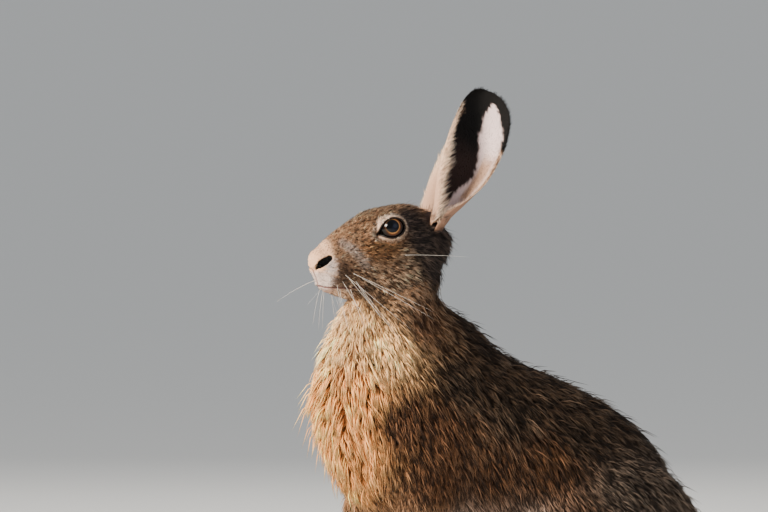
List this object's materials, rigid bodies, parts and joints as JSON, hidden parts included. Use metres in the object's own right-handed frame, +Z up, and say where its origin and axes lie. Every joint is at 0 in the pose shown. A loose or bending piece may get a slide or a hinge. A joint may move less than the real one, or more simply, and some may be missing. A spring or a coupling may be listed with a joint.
{
  "type": "brown hare model",
  "caption": "Life-size brown hare sitting upright with forelegs straight and ears raised, as a still museum model resting on its feet.",
  "frame": {"origin": "middle of the bounding box seen from above, at the height of the soles", "axes": "+Z up, the hare faces -X, and its left side is -Y"},
  "size_m": [0.369, 0.1664, 0.4673],
  "materials": {
    "coat_head": "short grizzled fur, brown with black and cream hair tips, pale round the eye and on the lips and chin",
    "coat_neck": "short fur, sandy on the throat and dark buff behind",
    "coat_chest": "loose warm sandy fur in small clumps",
    "coat_back": "dense fur, brown and black mixed, greyer on the rump and rufous on the flank",
    "coat_tail": "soft fur, black above and white below",
    "coat_ear": "thin velvet fur, buff behind, black at the tip, pale inside",
    "coat_leg": "short rufous fur",
    "coat_foot": "short dense fur down to the soles",
    "eye": "wet gloss, amber brown iris round a black pupil",
    "claw": "dark horn, slightly shiny",
    "skin": "skin under the coat, and the bare rims of lids and nostrils",
    "whisker": "stiff white hair"
  },
  "bodies": {
    "root": {"head": "coat_head", "neck": "coat_neck", "chest": "coat_chest", "torso": "coat_back", "rump": "coat_back", "tail": "coat_tail", "ear_left": "coat_ear", "eye_left": "eye", "upper_arm_left": "coat_leg", "forearm_left": "coat_leg", "forepaw_left": "coat_foot", "thigh_left": "coat_back", "shank_left": "coat_leg", "hind_foot_left": "coat_foot", "ear_right": "coat_ear", "eye_right": "eye", "upper_arm_right": "coat_leg", "forearm_right": "coat_leg", "forepaw_right": "coat_foot", "thigh_right": "coat_back", "shank_right": "coat_leg", "hind_foot_right": "coat_foot"}
  },
  "joints": []
}
